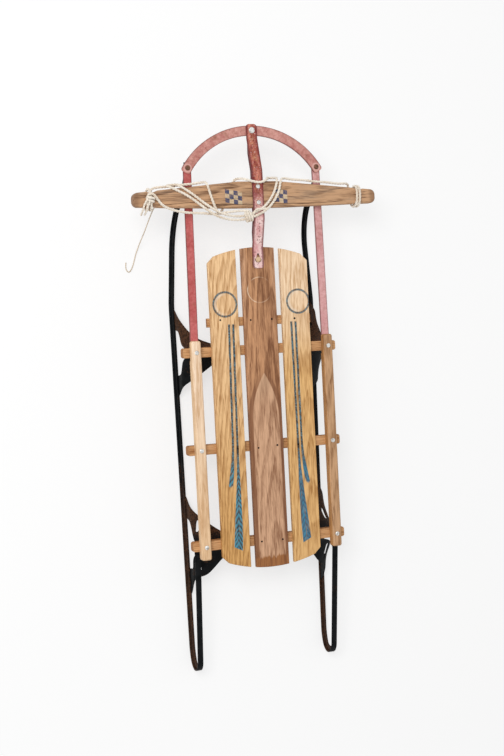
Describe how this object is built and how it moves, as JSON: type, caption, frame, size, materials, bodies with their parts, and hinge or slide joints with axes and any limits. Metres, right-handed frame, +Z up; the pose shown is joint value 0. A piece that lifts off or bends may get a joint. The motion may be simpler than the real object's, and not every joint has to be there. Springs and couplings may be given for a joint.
{
  "type": "runner sled",
  "caption": "Wooden runner sled with sprung steel runners, pressed knees, and a handle and bar that steer the runners' fronts through a bumper.",
  "frame": {"origin": "on the floor, at the middle of the sled's bounding box in plan", "axes": "+X to the sled's right, +Y forward to the bumper, +Z up"},
  "size_m": [0.566, 1.22, 0.1609],
  "materials": {
    "deck_oak": "worn varnish over golden oak, blue stripes",
    "deck_stained": "brown stain, worn",
    "bench_wood": "worn varnish",
    "rail_pale": "bare pale wood",
    "rail_brown": "weathered varnish",
    "handle_wood": "worn varnish",
    "red_paint": "worn dusty red paint",
    "black_steel": "black enamel with rust",
    "zinc": "dull zinc",
    "cotton": "laid cotton",
    "jute": "laid twine"
  },
  "bodies": {
    "base": {"bar_middle": "bench_wood", "bench_front": "bench_wood", "bench_rear": "bench_wood", "board_centre": "deck_stained", "board_left": "deck_oak", "board_right": "deck_oak", "cleat_front": "bench_wood", "knee_front_left": "black_steel", "knee_front_right": "black_steel", "knee_rear_left": "black_steel", "knee_rear_right": "black_steel", "leg_rivets": "zinc", "pivot_bolt": "zinc", "rail_bolts": "zinc", "rail_wood_left": "rail_pale", "rail_wood_right": "rail_brown", "runner_left": "black_steel", "runner_right": "black_steel"},
    "steering": {"steering_bar": "red_paint", "handle": "handle_wood", "handle_rivets": "red_paint", "tow_rope": "cotton", "twine_tail": "jute"},
    "left_rail": {"rail_steel_left": "red_paint"},
    "right_rail": {"rail_steel_right": "red_paint"},
    "bumper": {"bumper": "red_paint", "corner_rivets": "red_paint", "middle_bolt": "zinc"}
  },
  "joints": [
    {"name": "steer", "type": "hinge", "parent": "base", "child": "steering", "pos_m": [0, 0.311, 0], "axis": [0, 0, 1], "range_deg": [-8, 8], "stiffness_Nm_per_rad": 40, "deforming": ["runner_left", "runner_right"]},
    {"name": "left_rail_swing", "type": "hinge", "parent": "base", "child": "left_rail", "pos_m": [-0.1555, 0.112, 0], "axis": [0, 0, 1], "range_deg": [-5.8, 5.8]},
    {"name": "right_rail_swing", "type": "hinge", "parent": "base", "child": "right_rail", "pos_m": [0.1555, 0.112, 0], "axis": [0, 0, 1], "range_deg": [-5.8, 5.8]},
    {"name": "bumper_swing", "type": "hinge", "parent": "left_rail", "child": "bumper", "pos_m": [-0.151, 0.515, 0], "axis": [0, 0, 1], "range_deg": [-6.1, 6.1]}
  ],
  "couplings": [
    {"joint": "left_rail_swing", "follows": "steer", "ratio": 0.7103},
    {"joint": "right_rail_swing", "follows": "steer", "ratio": 0.7103},
    {"joint": "bumper_swing", "follows": "steer", "ratio": -0.7316}
  ]
}
